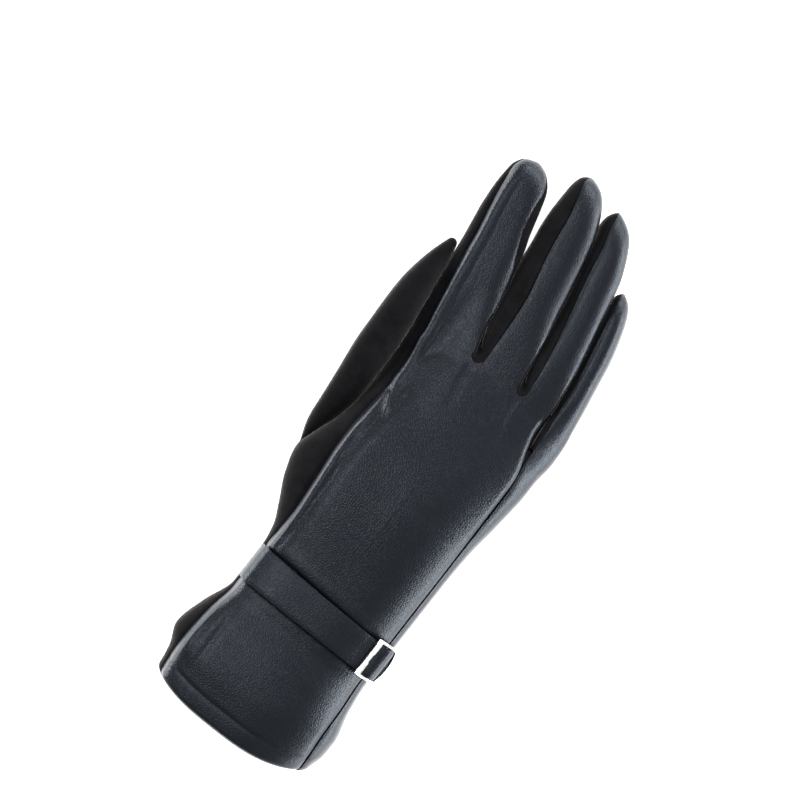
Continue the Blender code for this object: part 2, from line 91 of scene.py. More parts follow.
# Seams as angles: the leather's edges, the palm's edge and the edges of the finger walls underneath
RIM = math.radians(36)
LITTLE_START = math.radians(-34)
PALM_EDGE = math.radians(-46)
WALL_IN_END = math.radians(205)
WALL_OUT_START = math.radians(312)
SEAM_LIMIT = math.radians(165)
THUMB_SEAMS = (math.radians(20), math.radians(165))
# The angles round the palm over which it lets go of the index finger's root
INDEX_PALM = (math.radians(195), math.radians(225))
# How far a finger's leather is drawn out, so that its rim shows at the finger's full width
FULLNESS = math.cos(RIM) ** (-2 / SQUARENESS)
# The shares of a finger's length over which its tip closes and its root grows out of the back
TIP_SHARE = 0.48
ROOT_SHARE = 0.26
# The angles over which a finger's root follows the back, and where it ends past the seam
ROOT_RISE = (-0.6, 0.45)
ROOT_END = 3.7
# The dip of the back beside a finger's edges: depth and half width
DIP = (0.08, 2.2)
# Across the hand, where the index finger and its knuckle turn from round to flat
INDEX_ROUND = (-33.0, -22.0)
KNUCKLE_ROUND = (-34.0, -22.0)
# A web: how far it reaches out along the fingers, how far its edge dips, and its lower corners as angles
WEB_REACH, WEB_DIP = 0.08, 2.0
WEB_CORNERS = (math.radians(235), math.radians(-62))
# The web by the little finger: its reach along the hand, how far it goes under the fingers, and its heights
LITTLE_WEB = (LITTLE_ROOT - 4.0, ROOT + 14.0)
LITTLE_WEB_UNDER = 2.0
LITTLE_WEB_HEIGHTS = (7.0, 3.0)
# The gusset: how far it lies inside the palm's edge, and how far it bulges
GUSSET_DEPTH, GUSSET_BULGE = 0.2, 0.8
# Over what length a finger turns out of the hand when it lifts
BEND_LENGTH = 30.0
# How far along a finger's length its root holds still, and the half height below which its seams fade
ROOT_HOLD = 0.06
SEAM_HEIGHT = 4.0

# Where along the hand features fade in or out
FLAT_FADE = (76.0, 94.0)
TUCK_FADE = (82.0, 96.0)
SIDE_FADE = (84.0, LITTLE_ROOT)
EDGE_FADE = (86.0, 102.0)
BACK_FADE = (88.0, ROOT)
PALM_FADE = (96.0, ROOT)
TIP_FADE = (178.0, 194.0)
KNUCKLE_LEVEL = 111.0
BACK_END = (ROOT - 6, ROOT)
PALM_END = (ROOT - 4, ROOT)
SIDE_END = (LITTLE_ROOT - 4, LITTLE_ROOT)
# How far the back and the side stop short of the seam between them
BACK_SHORT, SIDE_SHORT = 0.8, 0.5

# Rows of the hand: place along it, outer side by the thumb, seam of the back, height
THUMB_SIDE = (
    (MOUTH, -36.0, -34.0, 29.0),
    (-50.0, -37.2, -34.9, 30.2),
    (-40.0, -40.6, -35.2, 31.0),
    (-24.0, -37.6, -34.2, 29.5),
    (-9.0, -32.7, -31.8, 27.0),
    (9.0, -32.7, -31.8, 27.0),
    (18.0, -34.0, -31.6, 27.8),
    (27.0, -38.0, -31.6, 28.5),
    (38.0, -43.4, -32.4, 29.2),
    (49.0, -46.2, -33.4, 29.5),
    (58.0, -44.0, -34.2, 28.7),
    (68.0, -40.6, -34.4, 27.4),
    (78.0, -38.9, -33.8, 25.4),
    (90.0, -38.4, -32.9, 22.8),
    (104.0, -38.8, -33.6, 20.1),
    (ROOT, -39.6, -35.2, 18.0),
)
# Rows of the hand's other side: place along it, seam of the back, outer side
LITTLE_SIDE = (
    (MOUTH, 32.2, 34.4),
    (-50.0, 31.9, 36.2),
    (-42.0, 31.4, 36.3),
    (-24.0, 30.9, 33.6),
    (-9.0, 30.0, 32.1),
    (9.0, 30.0, 32.1),
    (40.0, 29.9, 32.1),
    (55.0, 29.9, 32.6),
    (70.0, 30.0, 34.3),
    (90.0, 29.8, 36.2),
    (LITTLE_ROOT, 28.0, 36.9),
)
# The same side past the little finger's root: place and outer side
RING_SIDE = [(RING_SIDE_START, 26.1), (ROOT, 24.2)]
# Rows of the thumb: place along the hand, outer side, side by the hand, height
THUMB_ROWS = (
    (48.0, -44.6, -30.0, 8.0),
    (52.0, -46.6, -30.0, 11.0),
    (60.0, -49.3, -30.0, 15.5),
    (70.0, -50.6, -30.0, 17.5),
    (82.0, -52.2, -39.0, 18.0),
    (100.0, -54.0, -39.3, 18.0),
    (115.0, -54.5, -40.9, 17.5),
    (125.0, -54.3, -42.1, 17.0),
    (133.0, -53.6, -43.2, 15.8),
    (140.0, -52.5, -44.1, 13.8),
    (146.5, -50.7, -45.6, 9.5),
    (149.0, -49.7, -46.3, 6.0),
    (150.4, -48.9, -47.0, 3.0),
    (150.9, -48.0, -47.9, 0.4),
)
# The thumb's height and gap to the hand, and how its rows crowd towards the tip
THUMB_HEIGHT, THUMB_GAP, THUMB_CROWDING = 18.0, 0.2, 1.5
# The hem's profile from inside the mouth and round the fold: place along the hand and depth below its face
HEM = (
    (-47.0, 2.2),
    (-55.0, 2.2),
    (-58.6, 2.15),
    (-59.5, 1.9),
    (MOUTH, 1.1),
    (-59.5, 0.3),
    (-58.6, 0.02),
    (-57.0, 0.0),
)
# The hem's share of a panel's rows, and the depth at which it has turned in
HEM_SHARE = 0.14
HEM_TURN = 0.5
# The hem's stitches: their place, how far they stand out, and their half width and half height
STITCH_PLACE = -52.5
STITCH_STAND = 0.45
STITCH_FORM = (0.28, 0.22)
# The strap over the back: where it runs across, and how far up the hand its middle lies at both ends
STRAP_REACH = (-32.0, 26.0)
STRAP_OFFSET = (2.6, 1.0)
# How far the leather sinks under the strap, and over what distance from its edge
STRAP_SINK, SINK_EDGE = 0.3, 0.6
# What the strap's edge and the stitches press in or push up: depth, distance from them and half width
STRAP_PRESS = ((0.9, 0.0, 0.75), (-0.35, 3.5, 2.2))
STITCH_PRESS = ((0.4, 0.0, 0.9), (-0.2, -4.0, 2.5))
# Creases and dents of the back: both ends in plan, half width and depth
CREASES = (
    ((-31.0, 116.0), (-23.5, 118.0), 0.7, 0.5),
    ((-33.0, 93.0), (-27.0, 79.0), 1.2, 0.8),
    ((-32.5, 74.0), (-29.0, 52.0), 1.3, 0.5),
    ((-26.2, -14.0), (-25.4, -47.0), 1.6, 0.4),
    ((-30.6, -16.0), (-31.0, -38.0), 1.3, 0.2),
)
# The hollow beside the thumb-side seam: place along the hand, distance from the seam, depth and half width
HOLLOW = (
    (7.0, 3.6, 0.0, 2.0),
    (14.0, 3.8, 0.6, 2.0),
    (23.0, 4.0, 0.7, 2.2),
    (55.0, 5.4, 0.8, 2.6),
    (84.0, 6.0, 1.0, 3.0),
    (100.0, 5.4, 1.0, 3.0),
)
# Across the index finger and its knuckle: distance from the seam and height of the proud edge and the hollow
PROUD_EDGE = ((0.0, -1.7), (1.3, 0.1), (2.0, 0.35), (3.4, 0.1), (5.6, -0.5), (8.5, -0.5), (18.0, 0.0))
# How far the index finger's leather stops short of its other side, which leaves its wall showing
INDEX_RIM = ((150.0, 0.0), (155.0, 0.9), (160.0, 2.0), (170.0, 2.8), (180.0, 2.3), (188.0, 0.8), (192.5, 0.3))
# How cut edges roll under along their seams: half width and depth
PALM_ROLL = (1.3, 0.75)
INDEX_ROLL = (1.6, 2.0)
BACK_ROLL_LITTLE = (0.8, 0.8)
BACK_ROLL_THUMB = (1.4, 1.3)
SIDE_ROLL = (0.8, 0.5)
THUMB_ROLL = (0.9, 0.3)
STRAP_ROLL = (0.8, 0.3)
FINGER_ROLL_WIDTH = 0.8
# Widths of the side and the palm from seam to seam, and of half the thumb
SIDE_WIDTH, PALM_WIDTH, THUMB_WIDTH = 24.0, 100.0, 22.0
# How uneven the soft sheets are: the back, the fingers, the thumb and under the stitches
BACK_PUFF, FINGER_PUFF, THUMB_PUFF, HEM_PUFF = 0.4, 0.25, 0.6, 0.5
# The linings' depth below the outer face, and how much further the hand's is drawn in at its end
HAND_LINING_DEPTH, DIGIT_LINING_DEPTH, LINING_DRAW = 2.6, 2.0, 2.0
LINING_REACH = (-50.0, 116.0)
# The welt's reach along the hand, its two edges from the seam, its depth below the face and its thickness
WELT_REACH = (-58.5, LITTLE_ROOT - 1)
WELT_EDGES, WELT_DEPTH, WELT_WALL = (-1.0, 0.8), 1.7, 0.4

Section = namedtuple("Section", "place left edge right high")


def clamp(value):
    return max(0.0, min(1.0, value))


def smooth(low, high, value):
    t = clamp((value - low) / (high - low))
    return t * t * (3 - 2 * t)


def mix(a, b, t):
    return a + (b - a) * t


def bell(value, width):
    """1 in the middle, falling off to nothing on both sides."""
    return math.exp(-((value / width) ** 2))


def roll(near, width, depth):
    """How far a cut edge rolls under, from the distance to its seam."""
    return depth * bell(near, width)


def puff(point, depth):
    """The slow unevenness of soft leather over a hollow."""
    return depth * noise.noise(Vector((point.x / 19, point.y / 26, point.z / 19)))


def lean(angle):
    """The direction out of a tube at an angle."""
    return Vector((math.cos(angle), 0, math.sin(angle)))


def column(rows, number):
    return [(row[0], row[number]) for row in rows]


def curve(rows, where):
    """A smooth reading of rows of (place, value) that never overshoots them."""
    if where <= rows[0][0]:
        return rows[0][1]
    if where >= rows[-1][0]:
        return rows[-1][1]
    at = max(i for i, row in enumerate(rows) if row[0] <= where)

    def rise(i):
        return (rows[i + 1][1] - rows[i][1]) / (rows[i + 1][0] - rows[i][0])

    def slope(i):
        if i == 0 or i == len(rows) - 1 or rise(i - 1) * rise(i) <= 0:
            return 0.0
        return 2 * rise(i - 1) * rise(i) / (rise(i - 1) + rise(i))

    step = rows[at + 1][0] - rows[at][0]
    t = (where - rows[at][0]) / step
    start, end = rows[at][1], rows[at + 1][1]
    bend = step * t * (1 - t) * (slope(at) * (1 - t) - slope(at + 1) * t)
    return start + (end - start) * t * t * (3 - 2 * t) + bend


def outline(half_width, half_height, angle, inset):
    """A point on a flattened tube's outline, in from its outer face by an inset."""
    across, up = math.cos(angle), math.sin(angle)
    power = 2 / SQUARENESS
    wide, high = max(half_width - inset, THINNEST), max(half_height - inset, THINNEST)
    return wide * math.copysign(abs(across) ** power, across), high * math.copysign(abs(up) ** power, up)


def angle_at(x, left, right):
    """The angle over the top at which a flattened tube's outline shows at x in plan."""
    share = (x - (left + right) / 2) / max((right - left) / 2, THINNEST)
    return math.acos(math.copysign(min(abs(share), EDGE_SHARE) ** (SQUARENESS / 2), share))


def root_shift(x, away):
    """How far the slant of the index finger's root moves a point, fading out away from the root."""
    return -INDEX_DROP * clamp((SLANT_START - x) / SLANT_WIDTH) * (1 - smooth(0.0, 0.3, away))


class Hand:
    """The hand and cuff: one flattened tube whose outline changes along it."""

    left_rows, thumb_seam, height_rows = (column(THUMB_SIDE, i) for i in (1, 2, 3))
    little_seam = column(LITTLE_SIDE, 1) + [(ROOT, 23.4)]
    right_rows = column(LITTLE_SIDE, 2) + RING_SIDE
    wide_rows = column(LITTLE_SIDE, 2) + [(ROOT, 36.5)]

    def sides(self, place):
        return curve(self.left_rows, place), curve(self.right_rows, place)

    def thumb_seam_angle(self, place):
        return angle_at(curve(self.thumb_seam, place), *self.sides(place))

    def little_seam_angle(self, place, off=0.0):
        return angle_at(curve(self.little_seam, place) + off, *self.sides(place))

    def point(self, place, angle, inset=0.0):
        left, right = self.sides(place)
        height = curve(self.height_rows, place)
        x, z = outline((right - left) / 2, (height + BELLY) / 2, angle, inset)
        x += (left + right) / 2
        z = max(z + (height - BELLY) / 2, inset)
        return Vector((x, self.along(place, x), z))

    def along(self, place, x):
        """A row's place, with the bow of the mouth and the slant of the finger roots."""
        bow = MOUTH_BOW * abs((x - MOUTH_MIDDLE) / MOUTH_HALF) ** 3
        mouth = bow * max(0.0, (BOW_START - place) / (BOW_START - MOUTH))
        knuckle = max(0.0, (place - KNUCKLE) / (ROOT - KNUCKLE))
        scale = CUFF_LENGTH / -MOUTH if place < 0 else 1.0
        return place * scale + mouth + root_shift(x, 0.0) * knuckle

    def top(self, place, x, square=SQUARENESS):
        """The height of the back over a point in plan, read past the little finger as if the hand went on."""
        left, right = curve(self.left_rows, place), curve(self.wide_rows, place)
        height = curve(self.height_rows, place)
        share = min(abs((x - (left + right) / 2) / ((right - left) / 2)), 1.0)
        return (height - BELLY) / 2 + (height + BELLY) / 2 * (1 - share**square) ** (1 / square)

    def rise(self, place, x):
        """How far the back lies above the tube on the thumb side, flat nearly up to its turned-down edge."""
        if x > 0.0:
            return 0.0
        edge = curve(self.thumb_seam, place)
        flat, at_edge = (self.top(place, at, FLATNESS) - self.top(place, at) for at in (x, edge))
        return (flat - roll(x - edge, 1.2, at_edge)) * (1 - smooth(*FLAT_FADE, place))


class Digit:
    """A finger: a flattened tube from its root line to its round tip, given by rows along it.

    A row holds the place along the hand, the thumb side, the seam of the leather and the little-finger side.
    """

    def __init__(self, name, tip, height, rows):
        self.name, self.tip, self.height, self.root = name, tip, height, rows[0][0]
        full = rows + ((tip[1], tip[0], tip[0], tip[0]),)
        self.left_rows, self.right_rows = column(rows, 1), column(rows, 3)
        self.columns = [[(-self.nearness(row[0]), row[i]) for row in full] for i in (1, 2, 3)]

    def nearness(self, place):
        """1 at the root and 0 at the tip, changing fastest at the tip, where the outline rounds off."""
        return math.sqrt((self.tip[1] - place) / (self.tip[1] - self.root))

    def section(self, share):
        near = max(1 - share, 0.0)
        left, edge, right = (curve(rows, -near) for rows in self.columns)
        high = self.height / 2 * math.sin(math.pi / 2 * min(1.0, near / TIP_SHARE))
        return Section(self.tip[1] - (self.tip[1] - self.root) * near * near, left, edge, right, high)

    def seam(self, share):
        """The angle of the leather's edge on the thumb side."""
        at = self.section(share)
        return min(angle_at(at.edge, at.left, at.right), SEAM_LIMIT)

    def start(self, share):
        """The angle of the leather's edge on the little-finger side."""
        if self.name == "little":
            return LITTLE_START
        if self.name != "index":
            return RIM
        at = self.section(share)
        middle = (at.left + at.right) / 2
        edge = middle + (at.right - curve(INDEX_RIM, at.place) - middle) / FULLNESS
        return angle_at(edge, at.left, at.right)

    def girth(self, share):
        """The mean radius of the tube."""
        at = self.section(share)
        return (at.right - at.left + 2 * at.high) / 4

    def point(self, share, angle, inset=0.0):
        at = self.section(share)
        half = (at.right - at.left) / 2
        x, z = outline(half, at.high, angle, inset)
        if self.name != "little" and x > 0:
            x = min(x * FULLNESS, max(half - inset, THINNEST))
        x += (at.left + at.right) / 2
        z = max(z + self.height / 2, inset) + LIFT
        return Vector((x, at.place - inset * share + root_shift(x, share), z))

    def bend(self):
        """Where the finger starts to turn out of the hand, and where it has turned fully."""
        start = self.point(0.0, math.radians(90))
        way = Vector((self.tip[0], self.tip[1], start.z)) - start
        return start, start + way.normalized() * BEND_LENGTH

    def soft(self, share, angle):
        """The tube's outer face, whose upper side grows out of the flat back of the hand at its root."""
        point = self.point(share, angle)
        flat = 1 - smooth(0.0, ROOT_SHARE, share)
        if flat == 0.0:
            return point
        turn = (angle + math.pi / 2) % TURN - math.pi / 2
        over = smooth(*ROOT_RISE, turn) * (1 - smooth(self.seam(0.0), ROOT_END, turn))
        at = self.section(share)
        depth, width = DIP
        droop = depth * bell(at.right - point.x, width)
        if self.name == "index":
            over *= smooth(*INDEX_ROUND, point.x)
        else:
            droop += depth * (bell(point.x - at.edge, width) if point.x > at.edge else 1.0)
        point.z += (HAND.top(self.root, point.x) - droop - point.z) * over * flat
        return point


class Thumb:
    """The thumb: a pod that lies along the hand's side, given by rows along it."""

    columns = [column(THUMB_ROWS, i) for i in (1, 2, 3)]
    # Where the thumb starts to turn out of the hand, and where it has turned fully
    bend = (-48.0, 50.0, 9.0), (-46.0, 88.0, 9.0)

    def point(self, share, angle, inset=0.0):
        first, last = THUMB_ROWS[0][0], THUMB_ROWS[-1][0]
        place = first + inset + (last - first - 2 * inset) * (1 - (1 - share) ** THUMB_CROWDING)
        left, right, height = (curve(rows, place) for rows in self.columns)
        right = min(right, HAND.sides(place)[0] - THUMB_GAP)
        x, z = outline((right - left) / 2, height / 2, angle, inset)
        z = max(z + THUMB_HEIGHT / 2, inset) + LIFT
        return Vector(((left + right) / 2 + x, place, z))


HAND = Hand()
THUMB = Thumb()
INDEX = Digit("index", (-40.0, 195.0), 16.5, (
    (ROOT, -39.6, -35.2, -14.6),
    (130.0, -41.5, -37.0, -17.0),
    (140.0, -43.0, -39.0, -18.5),
    (150.0, -44.5, -41.0, -20.5),
    (160.0, -46.0, -42.6, -22.8),
    (165.0, -46.8, -43.6, -24.2),
    (170.0, -47.5, -44.6, -25.9),
    (180.0, -48.2, -46.2, -28.5),
    (188.0, -47.8, -46.7, -31.2),
    (192.5, -45.8, -45.3, -34.8),
))
MIDDLE = Digit("middle", (-19.6, 203.2), 17.0, (
    (ROOT, -11.6, -8.9, 7.4),
    (130.0, -15.0, -9.2, 6.2),
    (140.0, -17.4, -9.7, 4.7),
    (150.0, -19.4, -10.7, 2.8),
    (160.0, -21.2, -12.8, 1.0),
    (168.0, -22.0, -14.6, -0.7),
    (178.0, -23.6, -16.3, -2.8),
    (185.0, -24.1, -17.2, -4.8),
    (195.0, -24.0, -19.6, -9.4),
    (200.5, -23.0, -20.9, -13.6),
))
RING = Digit("ring", (-2.6, 199.0), 16.5, (
    (ROOT, 10.4, 12.2, 24.2),
    (130.0, 7.0, 11.4, 23.0),
    (140.0, 5.2, 10.0, 21.5),
    (150.0, 3.3, 8.0, 20.0),
    (160.0, 1.8, 5.8, 17.9),
    (170.0, -0.4, 3.6, 15.5),
    (177.0, -2.0, 2.2, 13.8),
    (185.0, -3.6, 0.6, 10.6),
    (193.0, -5.2, -1.8, 6.2),
))
LITTLE = Digit("little", (18.6, 174.8), 15.0, (
    (LITTLE_ROOT, 26.8, 28.0, 36.9),
    (112.0, 26.2, 27.8, 36.5),
    (120.0, 25.2, 27.2, 35.2),
    (130.0, 23.8, 26.3, 33.8),
    (140.0, 22.3, 24.7, 32.1),
    (150.0, 20.6, 22.8, 30.4),
    (160.0, 18.6, 20.8, 27.8),
    (167.0, 17.2, 19.2, 25.4),
    (171.0, 16.8, 18.2, 23.4),
))
FINGERS = (INDEX, MIDDLE, RING, LITTLE)
# The back's edge at the finger roots: its fingers, and the shares where fingers and webs take turns
BACK_FINGERS = (RING, MIDDLE, INDEX)
BACK_STOPS = (0.0, 0.24, 0.29, 0.59, 0.64, 1.0)


def size(name):
    """One of the glove's own sizes, in mm."""
    return getattr(bpy.context.scene.glove_shape, name) / MM


# Meshes


def make_patch(name, columns, rows, place, material, wall=0.0):
    """A grid laid on a surface: place turns two shares into a point. A wall gives it a thickness inwards."""
    mesh = bmesh.new()
    mesh.loops.layers.uv.new("UVMap")
    bmesh.ops.create_grid(mesh, x_segments=columns, y_segments=rows, size=0.5, calc_uvs=True)
    for vert in mesh.verts:
        vert.co = place(vert.co.x + 0.5, vert.co.y + 0.5) * MM
    made = finish_mesh(name, mesh, material)
    if wall:
        thicken(made, wall)
    return made


def finish_mesh(name, mesh, material):
    """An object in the scene from a bmesh, smoothly shaded."""
    data = bpy.data.meshes.new(name)
    mesh.to_mesh(data)
    mesh.free()
    data.shade_smooth()
    data.materials.append(material)
    made = bpy.data.objects.new(name, data)
    bpy.context.scene.collection.objects.link(made)
    return made


def thicken(piece, wall):
    """Gives a sheet its thickness, with a sharp cut edge all round."""
    data = piece.data
    faces = [0] * len(data.edges)
    for loop in data.loops:
        faces[loop.edge_index] += 1
    rim = data.attributes.new("sharp_edge", "BOOLEAN", "EDGE")
    rim.data.foreach_set("value", [count == 1 for count in faces])
    thick = piece.modifiers.new("wall", "SOLIDIFY")
    thick.thickness = wall * MM
    thick.offset = -1.0


# The hand


def hand_row(share, last):
    """Place along the hand and depth below its face, by share: round the hem, then up to the last place."""
    if share < HEM_SHARE:
        t = share / HEM_SHARE * (len(HEM) - 1)
        i = min(int(t), len(HEM) - 2)
        return tuple(mix(a, b, t - i) for a, b in zip(HEM[i], HEM[i + 1]))
    return mix(HEM[-1][0], last, (share - HEM_SHARE) / (1 - HEM_SHARE)), 0.0


def hand_share(place, last):
    """The share at which hand_row comes to a place above the hem."""
    first = HEM[-1][0]
    return mix(HEM_SHARE, 1.0, (place - first) / (last - first))


def on_face(depth):
    """1 on the outer face, 0 where the hem has turned in."""
    return 1.0 if depth < HEM_TURN else 0.0


def crotch(right, left, t, depth):
    """The web between two fingers: from one to the other by t, from the back's edge to the palm by depth."""
    out = WEB_REACH * depth
    start = right.soft(out, mix(right.seam(out), WEB_CORNERS[0], depth))
    end = left.soft(out, mix(left.start(out), WEB_CORNERS[1], depth))
    point = start.lerp(end, t)
    point.y -= WEB_DIP * math.sin(math.pi * t) * (1 - depth)
    return point


def back_root(u):
    """The back's edge at the finger roots: ring, web, middle, web and index."""
    i = max(k for k in range(len(BACK_STOPS) - 1) if u >= BACK_STOPS[k])
    t = (u - BACK_STOPS[i]) / (BACK_STOPS[i + 1] - BACK_STOPS[i])
    finger = BACK_FINGERS[i // 2]
    if i % 2 == 0:
        return finger.soft(0.0, mix(finger.start(0.0), finger.seam(0.0), t))
    return crotch(finger, BACK_FINGERS[i // 2 + 1], t, 0.0)


def pressed(point):
    """How far the strap and the row of stitches press into the back at a point."""
    share = smooth(*STRAP_REACH, point.x)
    half = mix(size("strap_width"), size("strap_end"), share) / 2
    off = abs(point.y - mix(*STRAP_OFFSET, share)) - half
    hem = point.y - HAND.along(STITCH_PLACE, point.x)
    strap = sum(depth * bell(off - at, width) for depth, at, width in STRAP_PRESS)
    stitches = sum(depth * bell(hem - at, width) for depth, at, width in STITCH_PRESS)
    return strap + STRAP_SINK * (1 - smooth(-SINK_EDGE, SINK_EDGE, off)) + stitches


def groove(point):
    """How deep the back lies at a point below its smooth face: what presses into it, and its creases."""
    total = pressed(point)
    for (x0, y0), (x1, y1), width, depth in CREASES:
        along = Vector((x1 - x0, y1 - y0))
        off = Vector((point.x - x0, point.y - y0))
        t = clamp(off.dot(along) / along.length_squared)
        away = (off - along * t).length
        if away < 3 * width:
            total += depth * bell(away, width) * math.sin(math.pi * mix(0.12, 0.88, t))
    return total


def relief(off, place):
    """The hollow and the proud seam beside the thumb-side edge, from the distance to that edge."""
    away, depth, width = (curve(column(HOLLOW, i), place) for i in (1, 2, 3))
    upper = smooth(*EDGE_FADE, place)
    edge = curve(PROUD_EDGE, off) * upper * (1 - smooth(*TIP_FADE, place))
    return edge - depth * bell(off - away, width) * (1 - upper)


def back_point(u, share):
    """The back of the hand, laid out in plan between its two seams and flowing into the three fingers."""
    place, depth = hand_row(share, ROOT)
    root = back_root(u)
    first, last = curve(HAND.little_seam, ROOT), curve(HAND.thumb_seam, ROOT)
    right, left = curve(HAND.little_seam, place) - BACK_SHORT, curve(HAND.thumb_seam, place)
    x = mix(right, left, clamp((root.x - first) / (last - first)))
    middle = (left + right) / 2
    inwards = 1 - depth / MOUTH_HALF
    point = Vector((middle + (x - middle) * inwards, HAND.along(place, x), HAND.top(place, x) - depth))
    free = 1 - smooth(*BACK_END, place)
    tuck = roll(x - left, *BACK_ROLL_THUMB) * (1 - smooth(*TUCK_FADE, place))
    tuck += roll(right - x, *BACK_ROLL_LITTLE)
    point.z += puff(point, BACK_PUFF) * free - (tuck + groove(point)) * free * on_face(depth)
    near = smooth(*BACK_FADE, place)
    point.x = mix(point.x, root.x, near)
    point.y += (root.y - HAND.along(ROOT, root.x)) * near
    level = mix(BACK_FADE[0], KNUCKLE_LEVEL, smooth(*KNUCKLE_ROUND, x))
    point.z = mix(point.z, root.z, smooth(level, ROOT, place))
    point.z += relief(point.x - left, place) + HAND.rise(place, x)
    return point


def side_point(u, share):
    """The little-finger side of the hand, which turns into the little finger's back at its root."""
    place, depth = hand_row(share, LITTLE_ROOT)
    angle = mix(PALM_EDGE, HAND.little_seam_angle(place, SIDE_SHORT), u)
    point = HAND.point(place, angle, depth)
    free = 1 - smooth(*SIDE_END, place)
    point -= lean(angle) * roll((1 - u) * SIDE_WIDTH, *SIDE_ROLL) * free * on_face(depth)
    root = LITTLE.soft(0.0, mix(LITTLE_START, LITTLE.seam(0.0), u))
    return point.lerp(Vector((root.x, point.y, root.z)), smooth(*SIDE_FADE, place))


def palm_point(u, share):
    """The palm, from the back's seam round the thumb side and under the hand."""
    place, depth = hand_row(share, ROOT)
    start = HAND.thumb_seam_angle(place)
    angle = mix(start, PALM_EDGE + TURN, u)
    out = lean(angle)
    free = 1 - smooth(*PALM_END, place)
    point = HAND.point(place, angle, depth)
    point -= out * roll(min(u, 1 - u) * PALM_WIDTH, *PALM_ROLL) * free * on_face(depth)
    off = u * PALM_WIDTH
    near = smooth(*PALM_FADE, place) * (1 - smooth(*INDEX_PALM, angle))
    if near > 0:
        seam = INDEX.seam(0.0)
        turn = mix(seam, INDEX_PALM[1], (angle - start) / (INDEX_PALM[1] - start))
        root = INDEX.soft(0.0, turn)
        point = point.lerp(Vector((root.x, HAND.along(place, root.x), root.z)), near)
        out = out.lerp(lean(turn), near)
        off = mix(off, (turn - seam) * INDEX.girth(0.0), near)
    return point - out * roll(off, *INDEX_ROLL) * smooth(*EDGE_FADE, place)


def gusset_point(u, v):
    """The gusset beside the little finger's root, from the palm's edge up to the back's."""
    place = mix(LITTLE_ROOT - 1.0, ROOT, v)
    low = HAND.point(max(place, RING_SIDE_START), PALM_EDGE, GUSSET_DEPTH)
    point = low.lerp(back_point(0.0, hand_share(place, ROOT)), u)
    point.x += GUSSET_BULGE * math.sin(math.pi * u)
    return point


def little_web_point(u, v):
    """The web between the ring and little fingers: a low floor that reaches under both."""
    y = mix(*LITTLE_WEB, v)
    _, ring_side = HAND.sides(min(max(y, RING_SIDE_START), ROOT))
    inner = (ring_side if y < ROOT else curve(RING.right_rows, y)) - LITTLE_WEB_UNDER
    outer = curve(LITTLE.left_rows, y) + LITTLE_WEB_UNDER
    return Vector((mix(inner, outer, u), y, mix(*LITTLE_WEB_HEIGHTS, smooth(0.0, 0.5, v))))


def welt_point(u, v):
    """The strip that lies in the seam between the back and the side."""
    place = mix(*WELT_REACH, v)
    return HAND.point(place, HAND.little_seam_angle(place, mix(*WELT_EDGES, u)), WELT_DEPTH)


def hand_lining_point(u, v):
    """The hand's lining, drawn in below the finger roots."""
    place = mix(*LINING_REACH, v)
    drawn = LINING_DRAW * smooth(KNUCKLE, LINING_REACH[1], place)
    return HAND.point(place, u * TURN, HAND_LINING_DEPTH + drawn)


# The fingers and the thumb


def turned(finger, share):
    """The leather's edge on the little-finger side, counted on from a full turn."""
    return finger.start(share) + TURN


def finger_point(finger, label, first, last, tuck, u, share):
    """A cut piece of a finger between two seams, each an angle or a function of the share along it."""
    share = min(share, 0.999)
    start, end = (seam(share) if callable(seam) else seam for seam in (first, last))
    angle = mix(start, end, u)
    point = finger.soft(share, angle)
    at = finger.section(share)
    span = (end - start) * finger.girth(share)
    rolled = roll(u * span, FINGER_ROLL_WIDTH, tuck) + roll((1 - u) * span, FINGER_ROLL_WIDTH, tuck)
    amount = (puff(point, FINGER_PUFF) - rolled) * smooth(0.0, ROOT_HOLD, share)
    if finger is INDEX and label == "palm":
        amount -= roll(u * span, *INDEX_ROLL) * (1 - smooth(*TIP_FADE, point.y))
    point += lean(angle) * amount * min(1.0, at.high / SEAM_HEIGHT)
    if finger is INDEX and label == "back":
        point.z += relief(point.x - at.edge, point.y)
    return point


def finger_cut(finger):
    """The pieces of a finger: label, finish, two seams, columns, depth of its rolled edges and CAD node."""
    name, seam = finger.name, finger.seam
    yield "back", "leather", finger.start, seam, 56, 0.15, f"{name}_back"
    if finger is INDEX:
        yield "palm", "suede", seam, WALL_OUT_START, 60, 0.6, "index_palm"
    else:
        stop = LITTLE_START + TURN if finger is LITTLE else WALL_OUT_START
        yield "wall_in", "suede", seam, WALL_IN_END, 30, 0.6, f"{name}_wall_thumb_side"
        yield "palm", "suede", WALL_IN_END, stop, 36, 0.5, f"{name}_palm"
    if finger is not LITTLE:
        edge = partial(turned, finger)
        yield "wall_out", "suede", WALL_OUT_START, edge, 20, 0.5, f"{name}_wall_little_side"


def finger_lining_point(finger, u, v):
    return finger.point(v * 0.9, u * TURN, DIGIT_LINING_DEPTH)


def thumb_point(first, last, u, v):
    """One half of the thumb, between two seams."""
    angle = mix(first, last, u)
    point = THUMB.point(v, angle)
    amount = puff(point, THUMB_PUFF) - roll(min(u, 1 - u) * THUMB_WIDTH, *THUMB_ROLL)
    return point + lean(angle) * amount * smooth(0, 0.1, min(v, 1 - v))


def thumb_lining_point(u, v):
    return THUMB.point(mix(0.2, 0.95, v), u * TURN, DIGIT_LINING_DEPTH)


# The strap and the buckle


